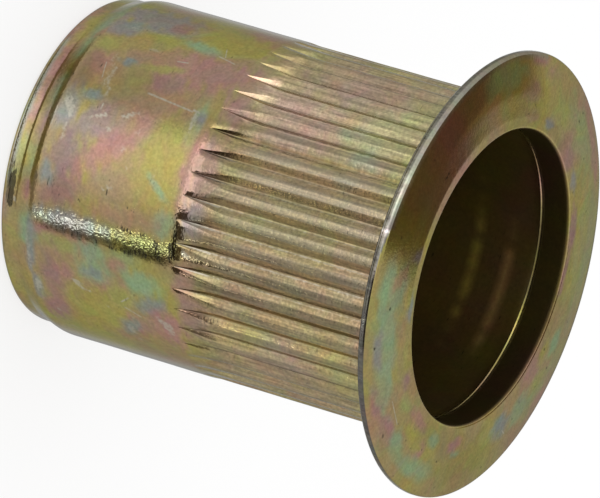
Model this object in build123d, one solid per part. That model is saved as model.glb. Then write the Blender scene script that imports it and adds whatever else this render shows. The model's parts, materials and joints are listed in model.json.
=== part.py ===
# Open-end knurled rivet nut with a large flange, cold formed in one piece from steel.
#
# The nut stands on its open nose end. The origin is the centre of that end face, +Z points
# up the axis to the flange, and all sizes are millimetres. A screw goes in at the flange,
# passes the wide collapse chamber and meets the thread in the lower half of the barrel.

import os
from math import hypot, pi, radians, sqrt, tan

from build123d import *

# Barrel
BODY_DIAMETER = 13.46          # plain lower part, which enters a 13.5 hole
OVERALL_LENGTH = 18.2          # nose end to the flange's front land
KNURL_RISE = 0.02              # how far the knurled part has grown in radius by the flange

# Nose end, where the blank was closed in a little by the die
NOSE_STEP = 0.25               # nose land's radius is this much under the barrel's
NOSE_LAND_LENGTH = 0.88
NOSE_TAPER_LENGTH = 0.62
NOSE_CORNER_RADIUS = 0.2

# Flange
FLANGE_OVERHANG = 2.07         # how far the rim stands out from the barrel
RIM_THICKNESS = 0.41           # the rim is rounded all the way across
FLANGE_CROWN = 0.33            # the front face rises this much from the rim to the land
CROWN_BULGE = 0.05             # how far the front face bows out from a straight cone
FRONT_LAND_WIDTH = 0.52        # flat ring around the mouth

# Mouth and collapse chamber
CHAMBER_WALL = 0.76            # thin wall that folds when the nut is set
CHAMBER_DEPTH = 8.4            # front land to the start of the chamber's floor cone
CHAMBER_FLOOR_ANGLE = 45       # slope of the floor, from a plane across the axis
MOUTH_LIP = 0.13               # the mouth is this much smaller in radius than the chamber
MOUTH_DEPTH = 1.25             # depth of that lip
MOUTH_EDGE_BREAK = 0.08        # bevel where the land turns into the mouth

# Thread M10 x 1.5, held here as its plain minor diameter
THREAD_MAJOR_DIAMETER = 10.0
THREAD_PITCH = 1.5
MINOR_PITCH_FACTOR = 1.0825    # major less minor diameter, in pitches, for a 60 degree thread
COUNTERSINK_OVERSIZE = 0.15    # countersink's rim is this much over the thread's major radius

# Flutes of the knurl: straight vee grooves that run out to a point above the plain part
FLUTE_COUNT = 45
FLUTE_LAND = 0.13              # ridge left between two full grooves
FLUTE_DEPTH = 0.18
FLUTE_RUNOUT = 1.85            # length over which a groove rises to its point
PLAIN_LENGTH = 7.98            # nose end to the flutes' points
KNURL_LEAD = 0.08              # the knurled part begins this much below the points
CUT_CLEARANCE = 0.03           # how far a cutting shape stands clear of the surface

# Worked out from the sizes above
body_radius = BODY_DIAMETER / 2
knurl_radius = body_radius + KNURL_RISE
nose_radius = body_radius - NOSE_STEP
flange_radius = body_radius + FLANGE_OVERHANG
chamber_radius = body_radius - CHAMBER_WALL
mouth_radius = chamber_radius - MOUTH_LIP
minor_radius = (THREAD_MAJOR_DIAMETER - MINOR_PITCH_FACTOR * THREAD_PITCH) / 2
countersink_radius = THREAD_MAJOR_DIAMETER / 2 + COUNTERSINK_OVERSIZE

flange_back = OVERALL_LENGTH - FLANGE_CROWN - RIM_THICKNESS
chamber_floor = OVERALL_LENGTH - CHAMBER_DEPTH
thread_top = chamber_floor - (chamber_radius - minor_radius) * tan(radians(CHAMBER_FLOOR_ANGLE))
countersink_depth = countersink_radius - minor_radius


# The half section is drawn as points of (radius, height).


def nose_outline():
    """From the countersink's rim out across the end face, around the corner and up to the knurl."""
    corner = NOSE_CORNER_RADIUS
    taper_top = NOSE_LAND_LENGTH + NOSE_TAPER_LENGTH
    return [
        Line((countersink_radius, 0), (nose_radius - corner, 0)),
        TangentArc((nose_radius - corner, 0), (nose_radius, corner), tangent=(1, 0)),
        Line((nose_radius, corner), (nose_radius, NOSE_LAND_LENGTH)),
        Line((nose_radius, NOSE_LAND_LENGTH), (body_radius, taper_top)),
        Line((body_radius, taper_top), (body_radius, PLAIN_LENGTH - KNURL_LEAD)),
        Line((body_radius, PLAIN_LENGTH - KNURL_LEAD), (knurl_radius, flange_back)),
    ]


def flange_outline():
    """From the barrel out along the flat back, around the full-round rim and up the bowed front."""
    rim = RIM_THICKNESS / 2
    rim_centre = flange_radius - rim
    land_edge = mouth_radius + MOUTH_EDGE_BREAK + FRONT_LAND_WIDTH
    rim_front = (rim_centre, flange_back + RIM_THICKNESS)
    land_rim = (land_edge, OVERALL_LENGTH)
    return [
        Line((knurl_radius, flange_back), (rim_centre, flange_back)),
        ThreePointArc((rim_centre, flange_back), (flange_radius, flange_back + rim), rim_front),
        SagittaArc(land_rim, rim_front, CROWN_BULGE),
        Line(land_rim, (mouth_radius + MOUTH_EDGE_BREAK, OVERALL_LENGTH)),
    ]


def bore_outline():
    """From the mouth's bevelled edge down through the lip, the chamber and the thread's bore."""
    edge = MOUTH_EDGE_BREAK
    lip_bottom = OVERALL_LENGTH - MOUTH_DEPTH
    return [
        Line((mouth_radius + edge, OVERALL_LENGTH), (mouth_radius, OVERALL_LENGTH - edge)),
        Line((mouth_radius, OVERALL_LENGTH - edge), (mouth_radius, lip_bottom)),
        Line((mouth_radius, lip_bottom), (chamber_radius, lip_bottom - MOUTH_LIP)),
        Line((chamber_radius, lip_bottom - MOUTH_LIP), (chamber_radius, chamber_floor)),
        Line((chamber_radius, chamber_floor), (minor_radius, thread_top)),
        Line((minor_radius, thread_top), (minor_radius, countersink_depth)),
        Line((minor_radius, countersink_depth), (countersink_radius, 0)),
    ]


def blank():
    """The nut before knurling: its half section turned about the axis."""
    half_section = Face(Wire(nose_outline() + flange_outline() + bore_outline()))
    return revolve(Plane.XZ * half_section, axis=Axis.Z)


def flute_cutter():
    """One vee groove on the +X side, straight below the flange and rising to a point at its foot."""
    pitch_angle = 2 * pi / FLUTE_COUNT
    half_width = (body_radius * pitch_angle - FLUTE_LAND) / 2
    root = body_radius - FLUTE_DEPTH
    chord = sqrt(body_radius ** 2 - half_width ** 2)
    flank = half_width / (chord - root)
    top = knurl_radius + CUT_CLEARANCE
    full_depth_from = PLAIN_LENGTH + FLUTE_RUNOUT
    vee = Polyline(
        (root, 0, full_depth_from),
        (top, (top - root) * flank, full_depth_from),
        (top, -(top - root) * flank, full_depth_from),
        close=True,
    )
    section = Face(Wire(vee.edges()))
    overshoot = (FLUTE_DEPTH + CUT_CLEARANCE) / FLUTE_DEPTH
    straight = extrude(section, amount=flange_back - full_depth_from, dir=(0, 0, 1))
    runout = extrude(section, amount=overshoot * hypot(FLUTE_DEPTH, FLUTE_RUNOUT),
                     dir=(FLUTE_DEPTH, 0, -FLUTE_RUNOUT))
    return straight + runout


def rivet_nut():
    """The finished nut, with the flutes cut evenly around the barrel."""
    cutter = flute_cutter()
    cutters = [Rot(0, 0, i * 360 / FLUTE_COUNT) * cutter for i in range(FLUTE_COUNT)]
    return blank() - cutters


os.makedirs("parts", exist_ok=True)
export_step(rivet_nut(), "parts/rivet_nut.step")
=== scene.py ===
import json
import math
import bpy
import numpy as np
from mathutils import Matrix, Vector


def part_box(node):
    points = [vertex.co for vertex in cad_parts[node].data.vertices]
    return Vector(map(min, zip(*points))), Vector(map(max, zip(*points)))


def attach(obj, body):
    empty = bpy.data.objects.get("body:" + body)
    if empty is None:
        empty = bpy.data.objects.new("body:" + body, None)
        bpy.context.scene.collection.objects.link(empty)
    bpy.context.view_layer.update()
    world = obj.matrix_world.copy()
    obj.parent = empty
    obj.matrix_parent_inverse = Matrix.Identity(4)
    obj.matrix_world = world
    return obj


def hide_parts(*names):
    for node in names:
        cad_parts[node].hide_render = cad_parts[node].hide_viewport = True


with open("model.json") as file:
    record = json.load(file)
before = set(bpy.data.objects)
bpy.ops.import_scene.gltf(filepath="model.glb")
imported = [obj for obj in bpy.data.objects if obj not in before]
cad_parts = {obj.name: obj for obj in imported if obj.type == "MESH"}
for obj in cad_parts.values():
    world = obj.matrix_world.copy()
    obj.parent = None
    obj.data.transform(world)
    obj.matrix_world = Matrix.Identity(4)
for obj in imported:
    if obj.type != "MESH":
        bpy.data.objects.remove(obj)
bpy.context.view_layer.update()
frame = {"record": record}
mm = 0.001
scene = bpy.context.scene
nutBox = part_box("rivet_nut")
mountNamed = {mount["name"]: mount for mount in frame["record"]["mounts"]}
print("frame loaded, the nut is", round(nutBox[1].z / mm, 2), "mm tall")


# node helpers: an input given as a socket is linked, anything else is its fixed value
def addNode(tree, kind, inputs=None, **settings):
    made = tree.nodes.new(kind)
    for name, value in settings.items():
        setattr(made, name, value)
    for key, value in (inputs or {}).items():
        if isinstance(value, bpy.types.NodeSocket):
            tree.links.new(value, made.inputs[key])
        else:
            made.inputs[key].default_value = value
    return made


def calc(tree, operation, first, second=0.0, third=0.0):
    inputs = {0: first, 1: second, 2: third}
    return addNode(tree, "ShaderNodeMath", inputs, operation=operation).outputs[0]


def mixColour(tree, share, first, second, mode="MIX"):
    inputs = {0: share, 6: first, 7: second}
    return addNode(tree, "ShaderNodeMix", inputs, data_type="RGBA", blend_type=mode).outputs[2]


def easeBetween(tree, value, low, high, start=0.0, end=1.0):
    inputs = {"Value": value, "From Min": low, "From Max": high, "To Min": start, "To Max": end}
    return addNode(tree, "ShaderNodeMapRange", inputs, interpolation_type="SMOOTHSTEP").outputs[0]


def noiseAt(tree, place, size, stretch=(1.0, 1.0, 1.0), output="Fac", **inputs):
    # noise with features of about `size` metres, drawn out by `stretch` on x, y and z
    scale = [1.0 / (size * part) for part in stretch]
    scaled = addNode(tree, "ShaderNodeMapping", {"Vector": place, "Scale": scale}).outputs[0]
    inputs = {"Vector": scaled, "Scale": 1.0, **inputs}
    return addNode(tree, "ShaderNodeTexNoise", inputs).outputs[output]


def newGroup(name, inputs, outputs):
    # an empty node group: its tree, its inputs by name and its output node
    tree = bpy.data.node_groups.new(name, "ShaderNodeTree")
    for socket, kind, value in inputs:
        made = tree.interface.new_socket(socket, in_out="INPUT", socket_type=kind)
        if value is not None:
            made.default_value = value
    for socket, kind in outputs:
        tree.interface.new_socket(socket, in_out="OUTPUT", socket_type=kind)
    return tree, tree.nodes.new("NodeGroupInput").outputs, tree.nodes.new("NodeGroupOutput").inputs


def placeGroup(tree, group, inputs):
    # the group as a node of this material, with its own values; returns its outputs
    return addNode(tree, "ShaderNodeGroup", inputs, node_tree=group).outputs


def newMaterial(name):
    # an empty material and its node tree
    material = bpy.data.materials.new(name)
    material.use_nodes = True
    material.node_tree.nodes.clear()
    return material, material.node_tree


# the nut's measures in mm; those that the frame gives are read from it
nut = {
    "flangeRadius": min(-nutBox[0].x, nutBox[1].x) / mm,
    "height": nutBox[1].z / mm,
    "seatHeight": mountNamed["flange_seat"]["pos_m"][2] / mm,
    "barrelRadius": mountNamed["barrel"]["dims"]["r_mm"],
    "threadRadius": mountNamed["thread"]["dims"]["r_mm"],
    "noseMouthRadius": 5.15,
    "noseRadius": 6.5,
    "noseLand": 0.76,            # height of the straight land at the nose end
    "taperTop": 1.45,
    "stepHeight": 7.93,          # where the plain barrel steps in to the knurled length
    "stepLength": 0.40,
    "stepRise": -0.035,
    "rimFront": 17.87,
    "crownRadius": 7.5,
    "crownHeight": 18.11,
    "landRadius": 6.3,
    "mouthRadius": 5.84,
    "mouthDepth": 1.25,
    "bead": 0.045,               # a fine raised line where the mouth ends
    "chamberRadius": 5.97,
    "chamberFloor": 9.8,
    "threadTop": 8.018,
    "threadEnd": 0.962,
    "wobble": 0.004,             # how far the barrel is from true
    "girth": 42,                 # the way round the barrel, in whole mm
}
flutes = {
    "count": 45,
    "start": 7.98,               # the points of the flutes
    "runout": 1.85,
    "depth": 0.18,
    "plunge": 1.5,               # above 1 the flutes start steeper
    "halfWidth": 0.33,
    "tipHalfWidth": 0.03,
    "uneven": 0.06,              # how much one flute differs from the next in depth
    "across": [-1.0, -0.82, -0.5, -0.14, 0.0, 0.14, 0.5, 0.82, 1.0],
    "landColumns": 2,
    "plainHalfWidth": 0.27,      # spread of the same columns where there is no groove
}
thread = {
    "pitch": 1.5,
    "depth": 0.78,
    "leadIn": 0.9,
    "leadOut": 0.5,
    "fullness": 1.25,            # above 1 the crests are flatter
    "rootCut": 0.1,              # above 0 the roots are flatter
}


def nutOutline():
    # corners as (radius, height, rounding, rows in the rounding, rows in the run after it)
    top, seat = nut["height"], nut["seatHeight"]
    crest = nut["barrelRadius"] + nut["stepRise"]
    mouth, chamber, hole = nut["mouthRadius"], nut["chamberRadius"], nut["threadRadius"]
    return [
        (nut["noseMouthRadius"], 0.0, 0.05, 2, 2),
        (nut["noseRadius"] - 0.01, 0.0, 0.28, 6, 1),
        (nut["noseRadius"], nut["noseLand"], 0.6, 5, 0),
        (nut["barrelRadius"], nut["taperTop"], 1.3, 5, 33),
        (nut["barrelRadius"], nut["stepHeight"], 3.0, 6, 1),
        (crest, nut["stepHeight"] + nut["stepLength"], 3.2, 4, 22),
        (crest, seat, 0.06, 3, 3),
        (nut["flangeRadius"], seat, 0.2, 6, 1),
        (nut["flangeRadius"], nut["rimFront"], 0.12, 6, 3),
        (nut["crownRadius"], nut["crownHeight"], 5.0, 4, 3),
        (nut["landRadius"], top, 2.2, 4, 2),
        (mouth, top, 0.13, 5, 7),
        (mouth, top - nut["mouthDepth"] + nut["bead"], 0.01, 2, 0),
        (mouth - nut["bead"], top - nut["mouthDepth"], 0.01, 2, 1),
        (chamber, top - nut["mouthDepth"] - 0.1, 0.03, 2, 18),
        (chamber, nut["chamberFloor"], 0.35, 4, 4),
        (hole, nut["threadTop"], 0.1, 2, 27),
        (hole, nut["threadEnd"], 0.1, 2, 3),
    ]


def roundedPath(corners):
    # a closed outline: each corner is cut back by rounding x tan(half its turn) and filled by an arc about
    # the centre on its bisector, and each straight run between arcs is divided evenly
    points = np.array([corner[:2] for corner in corners], float)
    before = np.roll(points, 1, axis=0) - points
    after = np.roll(points, -1, axis=0) - points
    before /= np.linalg.norm(before, axis=1)[:, None]
    after /= np.linalg.norm(after, axis=1)[:, None]
    rows = []
    for corner, point, back, ahead in zip(corners, points, before, after):
        rounding, arcRows, runRows = corner[2:]
        halfInner = math.acos(np.clip(back @ ahead, -1, 1)) / 2
        cut = rounding / math.tan(halfInner)
        bisector = (back + ahead) / np.linalg.norm(back + ahead)
        centre = point + bisector * rounding / math.sin(halfInner)
        start, end = point + back * cut - centre, point + ahead * cut - centre
        turn = math.pi - 2 * halfInner
        share = np.linspace(0, 1, arcRows)[:, None]
        arc = (np.sin((1 - share) * turn) * start + np.sin(share * turn) * end) / math.sin(turn)
        rows.append((centre + arc, runRows))
    path = []
    for index, (arc, runRows) in enumerate(rows):
        following = rows[(index + 1) % len(rows)][0][0]
        share = np.linspace(0, 1, runRows + 2)[1:-1, None]
        path += [arc, arc[-1] * (1 - share) + following * share]
    return np.concatenate(path)


def outward(azimuth, elevation):
    # the unit vector that points to an azimuth and elevation in degrees
    turned, raised = np.radians(azimuth), np.radians(elevation)
    level = [np.cos(raised) * np.cos(turned), np.cos(raised) * np.sin(turned)]
    return np.stack([*level, np.sin(raised)], axis=-1)


def smoothStep(value, low, high):
    # 0 below low, 1 above high, and 3s^2 - 2s^3 of the share s between them
    share = np.clip((value - low) / (high - low), 0, 1)
    return share * share * (3 - 2 * share)


def slowWaves(azimuth, height, seed, sizes):
    # a smooth uneven field: sines of whole waves round the axis and odd lengths along it, added up
    draw = np.random.default_rng(seed)
    total = np.zeros(np.broadcast(azimuth, height).shape)
    for size in sizes:
        around = draw.integers(1, max(2, int(nut["girth"] / size)), 4)
        along = draw.normal(0, 2 * math.pi / size, 4)
        phase = draw.uniform(0, 2 * math.pi, 4)
        for turns, rate, start in zip(around, along, phase):
            total += np.sin(turns * azimuth + rate * height + start)
    return total / (2 * len(sizes))


def fluteColumns(halfWidth, pitch):
    # places across one flute, from one groove edge over the root to the other and on over the land
    inGroove = np.array(flutes["across"])
    onLand = np.arange(1, flutes["landColumns"] + 1) / (flutes["landColumns"] + 1)
    groove = halfWidth[:, None] * inGroove
    land = halfWidth[:, None] + (pitch - 2 * halfWidth[:, None]) * onLand
    return np.concatenate([groove, land], axis=1)


def grooveDepth(share):
    # depth across a groove, 1 at its root and 0 at its edges: the flank falls evenly to a sharp root, its
    # slope eases out over the crest, and the depth is the slope's running sum
    steps = np.linspace(0, 1.3, 261)
    slope = smoothStep(steps, -0.05, 0.1) * smoothStep(-steps, -1.25, -0.75)
    fall = np.cumsum(slope) / slope.sum()
    return 1 - np.interp(share, steps, fall)


def nutSurface():
    # radius and height over a grid, rows along the closed outline and columns round the axis. A flute sinks
    # the radius by depth x its opening x the groove's shape; the thread raises it by a rounded tooth whose
    # phase is height / pitch - azimuth / turn
    path = roundedPath(nutOutline())
    radius, height = path[:, 0], path[:, 1]
    pastTop = np.arange(len(path)) > np.argmax(height)
    outside = (radius > nut["barrelRadius"] - 0.4) & ~pastTop
    outside &= (height < nut["seatHeight"] - 0.001) & (height > 0.001)
    knurled = outside & (height > flutes["start"])
    pitch = 2 * math.pi / flutes["count"]
    opening = np.clip((height - flutes["start"]) / flutes["runout"], 0, 1)
    halfWidth = np.maximum(opening * flutes["halfWidth"], flutes["tipHalfWidth"])
    halfWidth = np.where(knurled, halfWidth, flutes["plainHalfWidth"])
    columnAngle = fluteColumns(halfWidth / nut["barrelRadius"], pitch)
    steps = np.arange(flutes["count"]) * pitch
    azimuth = (steps[None, :, None] + columnAngle[:, None, :]).reshape(len(path), -1)
    columns = azimuth.shape[1]
    radiusGrid = np.repeat(radius[:, None], columns, axis=1)
    heightGrid = np.repeat(height[:, None], columns, axis=1)

    draw = np.random.default_rng(11)
    uneven = 1 + flutes["uneven"] * draw.uniform(-1, 1, flutes["count"])
    across = np.abs(columnAngle * nut["barrelRadius"])
    across = np.minimum(across, np.abs(pitch * nut["barrelRadius"] - columnAngle * nut["barrelRadius"]))
    shape = grooveDepth(across / np.maximum(halfWidth, 1e-6)[:, None])
    sinking = 1 - (1 - opening) ** flutes["plunge"]
    depth = (sinking * knurled * flutes["depth"])[:, None, None] * shape[:, None, :] * uneven[None, :, None]
    radiusGrid -= depth.reshape(len(path), -1)

    inThread = (radius < nut["threadRadius"] + 0.02) & (height > 0)
    turn = height[:, None] / thread["pitch"] - azimuth / (2 * math.pi)
    tooth = thread["fullness"] * (0.5 + 0.5 * np.cos(2 * math.pi * turn)) - thread["rootCut"]
    tooth = np.clip(tooth, 0, 1)
    ends = smoothStep(height, nut["threadEnd"], nut["threadEnd"] + thread["leadOut"])
    ends *= smoothStep(-height, -nut["threadTop"], -nut["threadTop"] + thread["leadIn"])
    radiusGrid += tooth * (thread["depth"] * ends * inThread)[:, None]

    free = smoothStep(radius, nut["noseRadius"] - 0.3, nut["noseRadius"])
    free *= radius < nut["flangeRadius"] - 0.3
    wobble = slowWaves(azimuth, heightGrid, 5, (2.5, 4.0)) * nut["wobble"] * free[:, None]
    radiusGrid += np.where(outside[:, None], wobble, 0)
    onFace = (height > nut["rimFront"] - 0.1)[:, None] & (radiusGrid > nut["mouthRadius"] + 0.05)
    inBore = np.repeat(pastTop[:, None], columns, axis=1) & ~onFace
    groove = np.tile(shape, flutes["count"]) * (opening > 0)[:, None]
    side = np.where(across < halfWidth[:, None], np.sign(columnAngle), 0) * (opening > 0)[:, None]
    return azimuth, radiusGrid, heightGrid, groove, np.tile(side, flutes["count"]), onFace, inBore


def gridFaces(rows, columns):
    # quads between neighbours, closed both ways, turned outwards
    first = np.arange(rows)[:, None] * columns + np.arange(columns)[None, :]
    ahead = np.roll(first, -1, axis=1)
    above = np.roll(first, -1, axis=0)
    both = np.roll(above, -1, axis=1)
    return np.stack([first, ahead, both, above], axis=-1).reshape(-1, 4)


def meshFromGrid(name, points, faces):
    # a smooth mesh of the points, each face a row of four of them
    mesh = bpy.data.meshes.new(name)
    mesh.vertices.add(len(points))
    mesh.vertices.foreach_set("co", points.astype(np.float32).ravel())
    mesh.loops.add(faces.size)
    mesh.loops.foreach_set("vertex_index", faces.astype(np.int32).ravel())
    mesh.polygons.add(len(faces))
    mesh.polygons.foreach_set("loop_start", np.arange(0, faces.size, faces.shape[1], dtype=np.int32))
    mesh.polygons.foreach_set("use_smooth", np.ones(len(faces), bool))
    mesh.update(calc_edges=True)
    mesh.validate()
    return mesh


def setAttribute(mesh, name, values, kind="FLOAT", field="value"):
    # one value, or one colour as a vector, at each point
    attribute = mesh.attributes.new(name, kind, "POINT")
    attribute.data.foreach_set(field, values.astype(np.float32).ravel())


# yellow passivated zinc: colours of the film from thin to thick
zinc = {
    "filmColours": [
        (0.00, (0.218, 0.290, 0.165)),
        (0.14, (0.225, 0.255, 0.140)),
        (0.30, (0.288, 0.254, 0.072)),
        (0.44, (0.275, 0.215, 0.098)),
        (0.60, (0.305, 0.174, 0.138)),
        (0.74, (0.238, 0.156, 0.128)),
        (0.86, (0.230, 0.196, 0.170)),
        (1.00, (0.192, 0.218, 0.186)),
    ],
    "knurl": (0.275, 0.238, 0.142),
    # the pale colour of worn flecks and scratches, and of the painted glints beside the flute roots
    "worn": (0.36, 0.34, 0.27, 1.0),
    "crest": (0.31, 0.28, 0.22, 1.0),
    # the colour of the dark marks and of the painted shade on the barrel
    "soot": (0.030, 0.028, 0.018, 1.0),
    # painted shade: how much darker the bore's colour is made
    "bore": (0.34, 0.29, 0.19, 1.0),
    "drift": 0.36,               # how strongly the clouds and mottling vary the colour
    "streaks": 0.6,              # how strongly the flutes are streaked along the axis
    "contrast": 0.5,             # of the specks, and how much more on the flutes
    "fluteContrast": 0.4,
    # how pale the crests turn, partly wear and partly painted highlight
    "rubbed": 0.5,
    "wornShare": 0.7,
    "wornSpeckle": 1.1,          # how far the specks break up the flecks
    "wornFade": (0.2, 1.05),     # from not pale to all pale
    "scratchShine": 1.8,
    "sootShare": 0.85,
    "sootHair": 2.2,             # how far the strokes break up the dark marks and painted shade
    "sootFade": (0.42, 0.72),    # from clean to all dark
    "roughness": 0.10,
    "dull": 0.30,                # how much rougher the bore is, and the grooves' share of it
    "grooveDull": 0.25,
    "metal": 0.93,
    "grime": 0.25,               # how much less metallic the roots of the flutes are
    "edgeTint": (0.5, 0.5, 0.48, 1.0),
    "grainHeight": 6.5e-6,       # in metres
}


# colour clouds of the plating: azimuth in degrees, height in mm (radius on the flange
# face), reach round and along in mm, lean of the long side in degrees, and film: 0 teal, 0.3 yellow,
# 0.45 tan, 0.6 pink, 0.75 mauve, 1 blue grey
barrelClouds = [
    (-150.8, 3.2, 1.0, 2.0, 0, 0.88), (-150.8, 4.2, 0.5, 0.4, 0, 0.72), (-150.8, 6.7, 1.0, 1.7, 0, 0.30),
    (-146, 1.35, 1.4, 0.22, 0, 0.12), (-140.6, 4.0, 0.45, 1.3, -8, 0.32), (-142.5, 5.7, 0.3, 0.9, 10, 0.04),
    (-141, 2.2, 0.6, 0.6, 0, 0.95), (-136, 3.2, 0.3, 1.4, -10, 0.40), (-132, 6.7, 1.0, 1.8, -5, 0.64),
    (-123, 5.3, 0.6, 0.9, 0, 0.66), (-131.5, 3.8, 0.35, 1.0, -12, 0.52), (-133, 2.1, 0.45, 0.5, 0, 0.27),
    (-123, 2.2, 0.7, 0.5, 0, 0.57), (-128, 4.8, 0.2, 0.9, -14, 0.26), (-127, 3.4, 0.2, 0.4, 0, 1.0),
    (-121.3, 4.1, 0.8, 0.55, 0, 0.40), (-117.2, 2.0, 0.45, 0.5, 0, 0.50), (-111.5, 2.8, 0.22, 0.4, 0, 1.0),
    (-114.5, 6.0, 0.5, 1.4, 0, 0.52), (-111, 7.4, 1.0, 0.32, 0, 0.02), (-114, 7.5, 0.3, 0.2, 0, 0.97),
    (-105, 2.0, 0.9, 0.5, 0, 0.92), (-103.3, 3.5, 0.8, 0.9, 0, 0.80), (-105.5, 5.4, 0.5, 0.5, 0, 0.64),
    (-98.8, 6.7, 1.5, 1.0, 0, 0.28), (-86, 6.7, 0.9, 1.2, 0, 0.34), (-83.7, 4.8, 1.0, 1.1, 0, 0.48),
    (-90.5, 2.6, 1.0, 0.8, 0, 0.78), (-96, 4.3, 0.55, 1.6, -45, 0.62), (-78.8, 2.8, 0.5, 0.9, -20, 0.70),
    (-82, 2.0, 0.45, 0.35, 0, 0.98), (-87.8, 6.8, 0.14, 0.7, 36, 0.03), (-76.3, 7.4, 0.5, 0.5, 0, 0.08),
    (-75.5, 5.6, 0.4, 1.3, 0, 0.50), (-96.5, 7.95, 1.4, 0.3, 0, 0.63), (-68.2, 3.3, 0.4, 1.9, 0, 0.95),
    (-68.2, 6.7, 0.35, 1.1, 0, 0.22), (-63.2, 2.1, 0.3, 0.6, 0, 0.60), (-60, 2.8, 0.35, 0.8, 0, 0.25),
    (-60, 4.4, 0.5, 0.6, 0, 0.02), (-61.5, 5.8, 0.35, 0.7, 0, 0.20), (-53.5, 4.5, 0.55, 0.7, 0, 0.03),
    (-52.6, 4.45, 0.25, 0.45, 0, 1.0), (-58.3, 5.5, 0.3, 0.4, 0, 0.55), (-53.4, 6.6, 0.55, 0.8, 0, 0.02),
    (-46, 2.5, 1.3, 0.5, 0, 0.68), (-50, 3.2, 0.4, 0.35, 0, 0.58), (-37.9, 4.5, 1.1, 1.4, 0, 0.30),
    (-46, 7.0, 0.42, 0.7, -20, 0.98), (-47, 5.6, 0.6, 0.5, 0, 0.27), (-37, 7.6, 1.0, 0.7, 0, 0.60),
    (-39.5, 1.7, 0.7, 0.2, 0, 0.95), (-33, 5.8, 0.6, 0.35, 30, 0.96), (-30, 2.4, 0.8, 0.6, 0, 0.66),
    (-18, 3.6, 1.2, 1.2, 0, 0.30), (-24, 6.6, 0.8, 0.9, 0, 0.44), (-61.6, 1.25, 0.6, 0.3, 0, 0.04),
    (-53.4, 0.6, 1.2, 0.3, 0, 0.38), (-41, 0.7, 1.2, 0.35, 0, 0.42), (-98.4, 1.15, 1.0, 0.2, 0, 0.76),
    (-111, 1.2, 0.9, 0.22, 0, 0.14), (-121, 1.15, 0.5, 0.22, 0, 0.36), (-129, 1.2, 0.8, 0.25, 0, 0.12),
    (-84, 1.1, 0.9, 0.22, 0, 0.12), (-75.5, 1.15, 0.5, 0.22, 0, 0.60), (-104, 0.58, 1.6, 0.16, 0, 0.68),
    (-122, 0.6, 1.2, 0.2, 0, 0.62), (-84, 0.55, 1.0, 0.2, 0, 0.20), (-140, 0.7, 1.2, 0.3, 0, 0.34),
    (-141, 1.2, 1.2, 0.2, 0, 0.08), (-57, 1.6, 1.2, 0.22, 0, 0.95), (-100, 0.28, 3.5, 0.13, 0, 0.96),
    (-97, 8.6, 1.5, 0.6, 0, 0.74), (-122, 8.8, 1.0, 0.6, 0, 0.62), (-80, 8.6, 0.8, 0.5, 0, 0.86),
    (-134, 8.8, 0.9, 0.6, 0, 0.55), (-58, 8.6, 1.0, 0.5, 0, 0.56), (-45, 8.9, 0.9, 0.6, 0, 0.66),
    (-125, 14.6, 1.6, 0.8, 0, 0.22), (-136, 15.2, 1.6, 1.2, 0, 0.24), (-125, 13.6, 0.4, 0.5, 0, 0.08),
    (-117, 14.6, 0.4, 0.5, 0, 0.02), (-106, 14.2, 0.3, 0.5, 0, 0.95), (-148, 12.5, 1.6, 2.2, 0, 0.56),
    (-122, 11.2, 1.8, 1.6, 0, 0.60), (-101, 12.0, 1.2, 2.0, 0, 0.50), (-88, 13.2, 1.2, 2.2, 0, 0.40),
    (-64, 12.6, 1.6, 3.2, 0, 0.48), (-33, 12.4, 1.2, 1.4, 0, 0.68), (-18, 12.0, 1.4, 3.0, 0, 0.50),
]
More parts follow.
